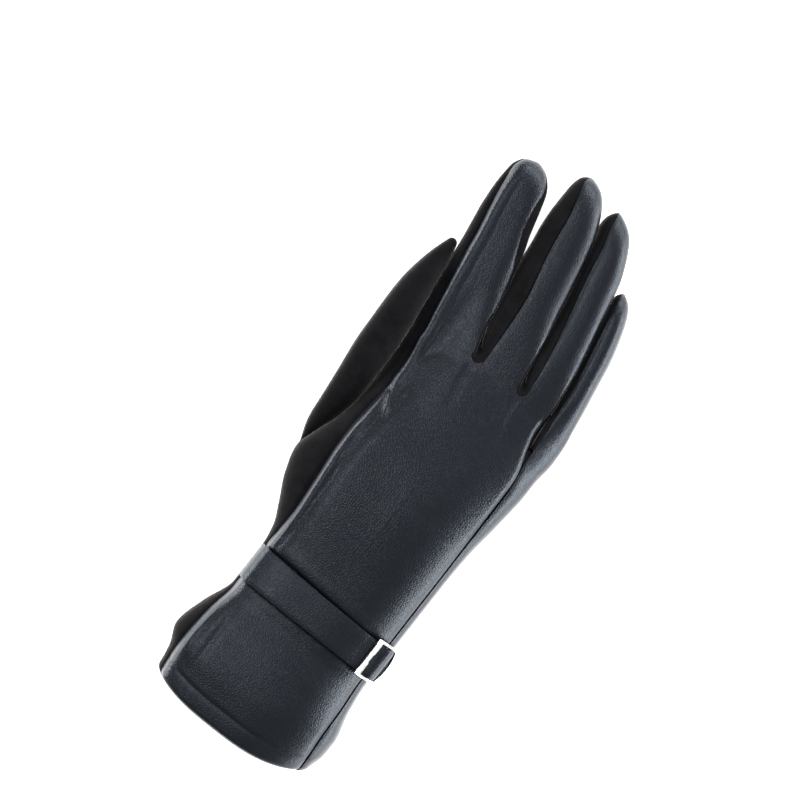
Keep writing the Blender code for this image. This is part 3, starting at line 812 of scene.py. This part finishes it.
class Buckle:
    """The buckle's sizes, and its axes along the strap and out of the hand, from its CAD joint."""

    tilt = math.radians(42)
    length, bow, bar, arm, thick, post = 14.5, 1.6, 2.4, 1.3, 1.8, 0.6
    # Beside the strap, under the bars when it rocks, between strap and post, under the strap, and up the hand
    room, rock, play, stand, shift = 0.5, 0.7, 0.3, 1.3, 1.0
    # The notch in the near bar: its depth and its half widths at the bottom and the top
    notch, notch_foot, notch_mouth = 0.5, 1.6, 1.75
    bevel = 0.7

    along = Vector((math.cos(tilt), 0, -math.sin(tilt)))
    out = Vector((math.sin(tilt), 0, math.cos(tilt)))
    post_along = (length - bow) / 2
    post_out = -thick / 2 - post / 3
    pivot = Vector(next(joint["pos_m"] for joint in frame["joints"] if joint["name"] == "buckle_rock")) / MM
    corner = pivot - along * post_along - out * post_out


# The strap's points over the wrist, its distance from the back, and its last points down the side in degrees
WRIST_POINTS = 24
STRAP_CLEARANCE = 0.3
STRAP_TAIL = (-4, -12, -20)
# The angles by which the strap starts over the back and stops past the buckle's foot
STRAP_MARGINS = (-0.16, 0.08)


def strap_line():
    """The strap's middle: over the wrist, under the bar, over the post, under the far bar, down the side."""
    half = size("strap_wall") / 2
    under = -(Buckle.thick / 2 + Buckle.rock + half)
    over = Buckle.post_out + Buckle.post + Buckle.play + half
    foot = Buckle.corner - Buckle.out * (half + Buckle.stand - under)
    start = HAND.thumb_seam_angle(0.0) + STRAP_MARGINS[0]
    stop = angle_at(foot.x, *HAND.sides(0.0)) + STRAP_MARGINS[1]
    last = WRIST_POINTS - 1
    line = [
        HAND.point(0.0, mix(start, stop, i / last), -(STRAP_CLEARANCE + half)) for i in range(WRIST_POINTS)
    ]
    for point in line:
        point.z += HAND.rise(0.0, point.x)
    crest = Buckle.post + Buckle.play
    for reach, height in (
        (Buckle.bar / 2, under),
        (Buckle.bar, under),
        (Buckle.post_along - crest, over),
        (Buckle.post_along + crest, over),
        (Buckle.length - Buckle.bar - Buckle.bow, under),
        (Buckle.length - Buckle.bar / 2, under),
    ):
        line.append(Buckle.corner + Buckle.along * reach + Buckle.out * height)
    line += [HAND.point(0.0, math.radians(angle), -(2 * STRAP_CLEARANCE + half)) for angle in STRAP_TAIL]
    return [Vector((point.x, 0, point.z)) for point in line]


def on_line(line, t):
    """A point on a smooth curve through a line of points."""
    at = t * (len(line) - 1)
    i = min(int(at), len(line) - 2)
    before, after = line[max(i - 1, 0)], line[min(i + 2, len(line) - 1)]
    p, q, s = line[i], line[i + 1], at - i
    square = 2 * before - 5 * p + 4 * q - after
    cube = 3 * p - before - 3 * q + after
    return 0.5 * (2 * p + (q - before) * s + square * s**2 + cube * s**3)


def strap_point(line, u, v):
    """The strap's outer face, narrower from the thumb-side seam to the buckle."""
    step = 0.004
    ahead = (on_line(line, min(v + step, 1.0)) - on_line(line, max(v - step, 0.0))).normalized()
    out = Vector((-ahead.z, 0, ahead.x))
    taper = min(1.0, v * (len(line) - 1) / (WRIST_POINTS - 1))
    width = mix(size("strap_width"), size("strap_end"), taper)
    across = (u - 0.5) * width
    edge = width / 2 - abs(across)
    point = on_line(line, v) + Vector((0, across + mix(*STRAP_OFFSET, taper), 0))
    return point + out * (size("strap_wall") / 2 - roll(edge, *STRAP_ROLL))


def bowed(length, half, bow):
    """A bowed end of the buckle's frame, from one arm to the other."""
    steps = 24
    sweep = [mix(-half, half, i / steps) for i in range(steps + 1)]
    return [(length - bow * (y / half) ** 2, y) for y in sweep]


def add_outline(mesh, points, z):
    """A closed outline of edges in a bmesh."""
    verts = [mesh.verts.new((x, y, z)) for x, y in points]
    for i, vert in enumerate(verts):
        mesh.edges.new((vert, verts[(i + 1) % len(verts)]))


def buckle_frame(mesh, inner):
    """The cast frame with softened edges and a notch in its near bar, in the buckle's own axes."""
    half, bar, thick = inner + Buckle.arm, Buckle.bar, Buckle.thick
    outside = [(0.0, -half), *bowed(Buckle.length, half, Buckle.bow), (0.0, half)]
    notch = [
        (bar, -Buckle.notch_mouth),
        (bar - Buckle.notch, -Buckle.notch_foot),
        (bar - Buckle.notch, Buckle.notch_foot),
        (bar, Buckle.notch_mouth),
    ]
    inside = [(bar, -inner), *notch, (bar, inner), *reversed(bowed(Buckle.length - bar, inner, Buckle.bow))]
    for points in (outside, inside):
        add_outline(mesh, points, -thick / 2)
    bmesh.ops.triangle_fill(mesh, edges=mesh.edges[:], use_beauty=True)
    grown = bmesh.ops.extrude_face_region(mesh, geom=mesh.faces[:])["geom"]
    upper = [part for part in grown if isinstance(part, bmesh.types.BMVert)]
    bmesh.ops.translate(mesh, verts=upper, vec=(0, 0, thick))
    bmesh.ops.recalc_face_normals(mesh, faces=mesh.faces)
    sharp = [edge for edge in mesh.edges if edge.calc_face_angle(0) > math.radians(40)]
    bmesh.ops.bevel(
        mesh, geom=sharp, offset=Buckle.bevel, segments=3, profile=0.5, material=-1, affect="EDGES",
        clamp_overlap=True,
    )


# Materials


def new_material(name, colour, roughness, metallic=0.0):
    made = bpy.data.materials.new(name)
    made.use_nodes = True
    shader = made.node_tree.nodes["Principled BSDF"]
    shader.inputs["Base Color"].default_value = (*colour, 1.0)
    shader.inputs["Roughness"].default_value = roughness
    shader.inputs["Metallic"].default_value = metallic
    return made, shader


def add_node(material, kind, **values):
    node = material.node_tree.nodes.new(kind)
    for name, value in values.items():
        node.inputs[name].default_value = value
    return node


def wire(material, start, end):
    material.node_tree.links.new(start, end)


def leather_material(name, look):
    """Black leather with a fine pebble grain."""
    made, shader = new_material(name, look.leather, look.leather_rough)
    shader.inputs["Specular IOR Level"].default_value = 0.5
    shader.inputs["Specular Tint"].default_value = (0.79, 0.88, 1.0, 1.0)
    coords = add_node(made, "ShaderNodeTexCoord")
    pebbles = add_node(made, "ShaderNodeTexVoronoi", Scale=1 / look.grain, Randomness=0.9)
    pebbles.feature = "DISTANCE_TO_EDGE"
    tops = add_node(made, "ShaderNodeMapRange", **{"From Max": 0.3})
    tops.interpolation_type = "SMOOTHSTEP"
    bump = add_node(made, "ShaderNodeBump", Strength=0.26, Distance=0.0002)
    wire(made, coords.outputs["Object"], pebbles.inputs["Vector"])
    wire(made, pebbles.outputs["Distance"], tops.inputs["Value"])
    wire(made, tops.outputs["Result"], bump.inputs["Height"])
    wire(made, bump.outputs["Normal"], shader.inputs["Normal"])
    return made


def nap_material(name, colour, scale, sheen):
    """A short nap: hardly any shine, a soft bright rim, a fine uneven surface and paler patches."""
    made, shader = new_material(name, colour, 0.95)
    shader.inputs["Specular IOR Level"].default_value = 0.1
    shader.inputs["Sheen Weight"].default_value = sheen
    shader.inputs["Sheen Roughness"].default_value = 0.32
    shader.inputs["Sheen Tint"].default_value = (1.0, 0.93, 0.91, 1.0)
    coords = add_node(made, "ShaderNodeTexCoord")
    nap = add_node(made, "ShaderNodeTexNoise", Scale=scale, Detail=6.0, Roughness=0.7)
    bump = add_node(made, "ShaderNodeBump", Strength=0.5, Distance=0.0004)
    patches = add_node(made, "ShaderNodeTexNoise", Scale=scale / 10, Detail=4.0, Roughness=0.65)
    shades = {"From Min": 0.3, "From Max": 0.7, "To Min": 0.6, "To Max": 1.5}
    shade = add_node(made, "ShaderNodeMapRange", **shades)
    tone = add_node(made, "ShaderNodeVectorMath")
    tone.operation = "SCALE"
    tone.inputs[0].default_value = colour
    wire(made, coords.outputs["Object"], patches.inputs["Vector"])
    wire(made, patches.outputs["Fac"], shade.inputs["Value"])
    wire(made, shade.outputs["Result"], tone.inputs["Scale"])
    wire(made, tone.outputs["Vector"], shader.inputs["Base Color"])
    wire(made, coords.outputs["Object"], nap.inputs["Vector"])
    wire(made, nap.outputs["Fac"], bump.inputs["Height"])
    wire(made, bump.outputs["Normal"], shader.inputs["Normal"])
    return made


def suede_material(name, look):
    return nap_material(name, look.suede, 1500.0, 0.6)


def lining_material(name, look):
    return nap_material(name, look.lining, 700.0, 0.2)


def metal_material(name, look):
    made, _ = new_material(name, look.metal, 0.1, 1.0)
    return made


def thread_material(name, look):
    made, _ = new_material(name, look.thread, 0.6)
    return made


def paper_material(stage):
    """A pale floor that the camera and the shiny pieces see as plain white."""
    made, shader = new_material("floor_paper", stage.floor, 0.9)
    shader.inputs["Specular IOR Level"].default_value = 0.0
    shader.inputs["Emission Color"].default_value = (1.0, 1.0, 1.0, 1.0)
    path = add_node(made, "ShaderNodeLightPath")
    glow = add_node(made, "ShaderNodeMath")
    glow.operation = "MULTIPLY_ADD"
    glow.inputs[1].default_value = stage.bounce
    wire(made, path.outputs["Is Glossy Ray"], glow.inputs[0])
    wire(made, path.outputs["Is Camera Ray"], glow.inputs[2])
    wire(made, glow.outputs["Value"], shader.inputs["Emission Strength"])
    return made


FINISHES = {
    "leather": ("grain_leather", leather_material),
    "suede": ("nap_suede", suede_material),
    "lining": ("knit_lining", lining_material),
    "metal": ("polished_metal", metal_material),
    "thread": ("thread", thread_material),
}


def finish(kind):
    """The glove's one material of a kind, made when first asked for."""
    name, make = FINISHES[kind]
    return bpy.data.materials.get(name) or make(name, bpy.context.scene.glove_look)


# Ties to the CAD frame


def settle(piece, kind, body, *nodes):
    """Ties a piece to its body and hides the CAD nodes that it stands for."""
    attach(piece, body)
    if nodes:
        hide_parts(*nodes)


def bend_from_hand(piece, kind, digit, bend, *nodes):
    """Bakes a piece of a finger or the thumb, or a web, into place and hides the CAD nodes that it stands
    for.
    """
    start, end = bend
    tuple(Vector(start) * MM)
    tuple(Vector(end) * MM)
    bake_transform(piece)
    if nodes:
        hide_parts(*nodes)


# Properties


class GloveLook(bpy.types.PropertyGroup):
    """Colours and finishes of the glove."""

    leather: bpy.props.FloatVectorProperty(
        name="Leather", description="Colour of the leather", subtype="COLOR", default=(0.007, 0.0078, 0.0105)
    )
    leather_rough: bpy.props.FloatProperty(
        name="Leather roughness", description="Dullness of the leather", subtype="FACTOR", default=0.32
    )
    grain: bpy.props.FloatProperty(
        name="Grain", description="Size of the leather's pebbles", unit="LENGTH", default=0.001, precision=5
    )
    suede: bpy.props.FloatVectorProperty(
        name="Suede", description="Colour of the suede", subtype="COLOR", default=(0.0054, 0.0049, 0.0058)
    )
    lining: bpy.props.FloatVectorProperty(
        name="Lining", description="Colour of the lining", subtype="COLOR", default=(0.02, 0.02, 0.022)
    )
    metal: bpy.props.FloatVectorProperty(
        name="Metal", description="Colour of the buckle", subtype="COLOR", default=(0.4, 0.4, 0.39)
    )
    thread: bpy.props.FloatVectorProperty(
        name="Thread", description="Colour of stitches and welt", subtype="COLOR", default=(0.02, 0.02, 0.022)
    )


class GloveShape(bpy.types.PropertyGroup):
    """Sizes that the look adds to the CAD frame."""

    leather_wall: bpy.props.FloatProperty(
        name="Leather", description="Thickness of the leather", unit="LENGTH", default=0.0009, precision=5
    )
    strap_width: bpy.props.FloatProperty(
        name="Strap width",
        description="Width of the wrist strap at the thumb-side seam",
        unit="LENGTH",
        default=0.0151,
        precision=5,
    )
    strap_end: bpy.props.FloatProperty(
        name="Strap end",
        description="Width of the wrist strap at the buckle",
        unit="LENGTH",
        default=0.0134,
        precision=5,
    )
    strap_wall: bpy.props.FloatProperty(
        name="Strap", description="Thickness of the strap", unit="LENGTH", default=0.0015, precision=5
    )
    stitch: bpy.props.FloatProperty(
        name="Stitch", description="Length of a hem stitch", unit="LENGTH", default=0.0026, precision=5
    )
    stitch_step: bpy.props.FloatProperty(
        name="Stitch step",
        description="From one hem stitch to the next",
        unit="LENGTH",
        default=0.0039,
        precision=5,
    )


class GloveStage(bpy.types.PropertyGroup):
    """Floor, light and camera."""

    floor: bpy.props.FloatVectorProperty(
        name="Floor", description="Colour of the floor", subtype="COLOR", default=(0.86, 0.86, 0.86)
    )
    bounce: bpy.props.FloatProperty(
        name="Bounce", description="Brightness of the floor as the shiny pieces see it", default=2.2
    )
    ambient: bpy.props.FloatProperty(name="Ambient", description="Light from all round", default=0.2)
    turn: bpy.props.FloatProperty(
        name="Turn",
        description="Turn of the camera about the vertical",
        subtype="ANGLE",
        default=math.radians(38),
    )
    distance: bpy.props.FloatProperty(
        name="Distance", description="Camera above the floor", unit="LENGTH", default=1.2
    )
    width: bpy.props.FloatProperty(
        name="Width", description="Width of the view at the floor", unit="LENGTH", default=0.32
    )


# Operators


class GLOVE_OT_hand(bpy.types.Operator):
    """Makes the back, the side and the palm of the hand."""

    bl_idname = "glove.hand"
    bl_label = "Hand"

    def execute(self, context):
        for name, kind, columns, rows, place, nodes in (
            ("glove_back", "leather", 150, 320, back_point, ("back_panel",)),
            ("glove_side", "leather", 30, 210, side_point, ("side_panel", "cuff_facing")),
            ("glove_palm", "suede", 130, 200, palm_point, ("palm_panel",)),
        ):
            panel = make_patch(name, columns, rows, place, finish(kind), size("leather_wall"))
            settle(panel, kind, "hand", *nodes)
        return {"FINISHED"}


class GLOVE_OT_webs(bpy.types.Operator):
    """Makes the gusset beside the little finger and the webs between the fingers."""

    bl_idname = "glove.webs"
    bl_label = "Webs"

    def execute(self, context):
        wall = size("leather_wall")
        gusset = make_patch("glove_gusset", 12, 14, gusset_point, finish("suede"), wall)
        settle(gusset, "suede", "hand", "crotch_gusset")
        for name, columns, rows, place, finger in (
            ("web_ring_middle", 14, 10, partial(crotch, RING, MIDDLE), MIDDLE),
            ("web_middle_index", 14, 10, partial(crotch, MIDDLE, INDEX), MIDDLE),
            ("web_ring_little", 6, 24, little_web_point, RING),
        ):
            web = make_patch(name, columns, rows, place, finish("suede"), wall)
            bend_from_hand(web, "suede", finger.name, finger.bend())
        return {"FINISHED"}


class GLOVE_OT_welt(bpy.types.Operator):
    """Makes the welt in the seam between the back and the side."""

    bl_idname = "glove.welt"
    bl_label = "Welt"

    def execute(self, context):
        welt = make_patch("seam_welt", 4, 80, welt_point, finish("thread"), WELT_WALL)
        settle(welt, "suede", "hand", "ulnar_welt")
        return {"FINISHED"}


class GLOVE_OT_fingers(bpy.types.Operator):
    """Makes the back, the palm side and the walls of each finger."""

    bl_idname = "glove.fingers"
    bl_label = "Fingers"

    def execute(self, context):
        for finger in FINGERS:
            for label, kind, first, last, columns, tuck, node in finger_cut(finger):
                place = partial(finger_point, finger, label, first, last, tuck)
                name = f"{finger.name}_{label}_skin"
                piece = make_patch(name, columns, 110, place, finish(kind), size("leather_wall"))
                bend_from_hand(piece, kind, finger.name, finger.bend(), node)
        return {"FINISHED"}


class GLOVE_OT_thumb(bpy.types.Operator):
    """Makes the two halves of the thumb."""

    bl_idname = "glove.thumb"
    bl_label = "Thumb"

    def execute(self, context):
        low, high = THUMB_SEAMS
        for name, first, last, node in (
            ("thumb_upper", low, high, "thumb_top"),
            ("thumb_lower", high, low + TURN, "thumb_under"),
        ):
            place = partial(thumb_point, first, last)
            piece = make_patch(name, 44, 130, place, finish("suede"), size("leather_wall"))
            bend_from_hand(piece, "suede", "thumb", THUMB.bend, node)
        return {"FINISHED"}


class GLOVE_OT_lining(bpy.types.Operator):
    """Makes the knit lining of the hand, the fingers and the thumb."""

    bl_idname = "glove.lining"
    bl_label = "Lining"

    def execute(self, context):
        lining = make_patch("glove_lining", 72, 60, hand_lining_point, finish("lining"))
        settle(lining, "lining", "hand", "hand_lining")
        digits = [(finger.name, partial(finger_lining_point, finger), finger.bend()) for finger in FINGERS]
        for name, place, bend in (*digits, ("thumb", thumb_lining_point, THUMB.bend)):
            lining = make_patch(f"{name}_knit", 40, 40, place, finish("lining"))
            bend_from_hand(lining, "lining", name, bend, f"{name}_lining")
        return {"FINISHED"}


class GLOVE_OT_strap(bpy.types.Operator):
    """Makes the wrist strap."""

    bl_idname = "glove.strap"
    bl_label = "Strap"

    def execute(self, context):
        place = partial(strap_point, strap_line())
        strap = make_patch("strap_band", 28, 260, place, finish("leather"), size("strap_wall"))
        settle(strap, "leather", "hand", "wrist_strap")
        return {"FINISHED"}


class GLOVE_OT_buckle(bpy.types.Operator):
    """Makes the buckle: a cast frame and the post that the strap passes over."""

    bl_idname = "glove.buckle"
    bl_label = "Buckle"

    def execute(self, context):
        inner = size("strap_end") / 2 + Buckle.room
        mesh = bmesh.new()
        buckle_frame(mesh, inner)
        lying = Matrix.Rotation(math.radians(90), 4, "X")
        bmesh.ops.create_cone(
            mesh,
            cap_ends=True,
            segments=24,
            radius1=Buckle.post,
            radius2=Buckle.post,
            depth=2 * inner + Buckle.arm,
            matrix=Matrix.Translation((Buckle.post_along, 0, Buckle.post_out)) @ lying,
        )
        worn = Matrix.Translation(Buckle.corner + Vector((0, Buckle.shift, 0)))
        turned_down = Matrix.Rotation(Buckle.tilt, 4, "Y")
        bmesh.ops.transform(mesh, matrix=Matrix.Scale(MM, 4) @ worn @ turned_down, verts=mesh.verts)
        piece = finish_mesh("buckle_cast", mesh, finish("metal"))
        settle(piece, "metal", "buckle", "buckle_frame")
        return {"FINISHED"}


class GLOVE_OT_stitches(bpy.types.Operator):
    """Makes the row of stitches along the hem."""

    bl_idname = "glove.stitches"
    bl_label = "Stitches"

    def execute(self, context):
        steps, margin = 400, 0.05
        first = HAND.little_seam_angle(STITCH_PLACE) + margin
        last = HAND.thumb_seam_angle(STITCH_PLACE) - margin
        points = [HAND.point(STITCH_PLACE, mix(first, last, i / steps)) for i in range(steps + 1)]
        form = Matrix.Diagonal((size("stitch") / 2, *STITCH_FORM, 1.0))
        mesh = bmesh.new()
        gone = 0.0
        for before, after in zip(points, points[1:]):
            gone += (after - before).length
            if gone < size("stitch_step"):
                continue
            gone = 0.0
            middle = (before + after) / 2
            face = puff(middle, HEM_PUFF) - pressed(middle) + HAND.rise(STITCH_PLACE, middle.x)
            middle.z += face + STITCH_STAND
            turn = (after - before).to_track_quat("X", "Z").to_matrix().to_4x4()
            lying = Matrix.Scale(MM, 4) @ Matrix.Translation(middle) @ turn @ form
            bmesh.ops.create_icosphere(mesh, subdivisions=2, radius=1.0, matrix=lying)
        piece = finish_mesh("hem_stitches", mesh, finish("thread"))
        settle(piece, "leather", "hand")
        return {"FINISHED"}


# The middle of the view, and each lamp's place from it, its two sizes and its power, in metres and watts
VIEW_MIDDLE = Vector((-0.0257, 0.0877, 0.0))
LAMPS = (
    ("side", (1.1, 0.2, 0.34), (2.0, 0.46), 30.0),
    ("window", (-0.3, 0.0, 1.1), (0.9, 0.16), 3.2),
    ("left", (-1.1, -0.1, 0.22), (1.4, 0.32), 17.0),
    ("back", (0.1, 1.05, 0.5), (1.1, 0.34), 8.0),
)
SKY = (0.88, 0.94, 1.0, 1.0)
SENSOR = 36.0
FLOOR_HALF = 3.0
FLOOR_LEVEL = -0.0004


def add_floor(stage):
    mesh = bmesh.new()
    level = Matrix.Translation((0, 0, FLOOR_LEVEL))
    bmesh.ops.create_grid(mesh, x_segments=1, y_segments=1, size=FLOOR_HALF, matrix=level)
    finish_mesh("floor", mesh, paper_material(stage))


def add_lamp(scene, name, at, sizes, power):
    """A rectangular lamp that faces the middle of the view."""
    lamp = bpy.data.lights.new(name, "AREA")
    lamp.shape = "RECTANGLE"
    lamp.size, lamp.size_y = sizes
    lamp.energy = power
    made = bpy.data.objects.new(name, lamp)
    made.location = VIEW_MIDDLE + Vector(at)
    made.rotation_euler = (-Vector(at)).to_track_quat("-Z", "Y").to_euler()
    scene.collection.objects.link(made)


def add_world(scene, strength):
    world = bpy.data.worlds.new("studio")
    world.use_nodes = True
    background = world.node_tree.nodes["Background"]
    background.inputs["Color"].default_value = SKY
    background.inputs["Strength"].default_value = strength
    scene.world = world


def add_camera(scene, stage):
    """A camera that looks straight down."""
    camera = bpy.data.cameras.new("camera")
    camera.sensor_width = SENSOR
    camera.lens = SENSOR * stage.distance / stage.width
    view = bpy.data.objects.new("camera", camera)
    view.location = VIEW_MIDDLE + Vector((0, 0, stage.distance))
    view.rotation_euler = (0, 0, stage.turn)
    scene.collection.objects.link(view)
    scene.camera = view


class GLOVE_OT_stage(bpy.types.Operator):
    """Makes the floor, the lights and the camera."""

    bl_idname = "glove.stage"
    bl_label = "Stage"

    def execute(self, context):
        scene, stage = context.scene, context.scene.glove_stage
        add_floor(stage)
        for name, at, sizes, power in LAMPS:
            add_lamp(scene, name, at, sizes, power)
        add_world(scene, stage.ambient)
        add_camera(scene, stage)
        scene.view_settings.view_transform = "Standard"
        return {"FINISHED"}


STEPS = (
    GLOVE_OT_hand,
    GLOVE_OT_webs,
    GLOVE_OT_welt,
    GLOVE_OT_fingers,
    GLOVE_OT_thumb,
    GLOVE_OT_lining,
    GLOVE_OT_strap,
    GLOVE_OT_buckle,
    GLOVE_OT_stitches,
    GLOVE_OT_stage,
)
GROUPS = {"glove_shape": GloveShape, "glove_look": GloveLook, "glove_stage": GloveStage}


class GLOVE_PT_panel(bpy.types.Panel):
    """Sizes, colours and steps of the glove."""

    bl_idname = "GLOVE_PT_panel"
    bl_label = "Glove"
    bl_space_type = "VIEW_3D"
    bl_region_type = "UI"
    bl_category = "Glove"

    def draw(self, context):
        for group, kind in GROUPS.items():
            for name in kind.__annotations__:
                self.layout.prop(getattr(context.scene, group), name)
        for step in STEPS:
            self.layout.operator(step.bl_idname)


def register():
    for kind in (*GROUPS.values(), *STEPS, GLOVE_PT_panel):
        bpy.utils.register_class(kind)
    for name, kind in GROUPS.items():
        setattr(bpy.types.Scene, name, bpy.props.PointerProperty(type=kind))


def unregister():
    for name in GROUPS:
        delattr(bpy.types.Scene, name)
    for kind in (GLOVE_PT_panel, *reversed(STEPS), *GROUPS.values()):
        bpy.utils.unregister_class(kind)


def main():
    register()
    bpy.ops.glove.hand()
    bpy.ops.glove.webs()
    bpy.ops.glove.welt()
    bpy.ops.glove.fingers()
    bpy.ops.glove.thumb()
    bpy.ops.glove.lining()
    bpy.ops.glove.strap()
    bpy.ops.glove.buckle()
    bpy.ops.glove.stitches()
    bpy.ops.glove.stage()


if __name__ == "__main__":
    main()
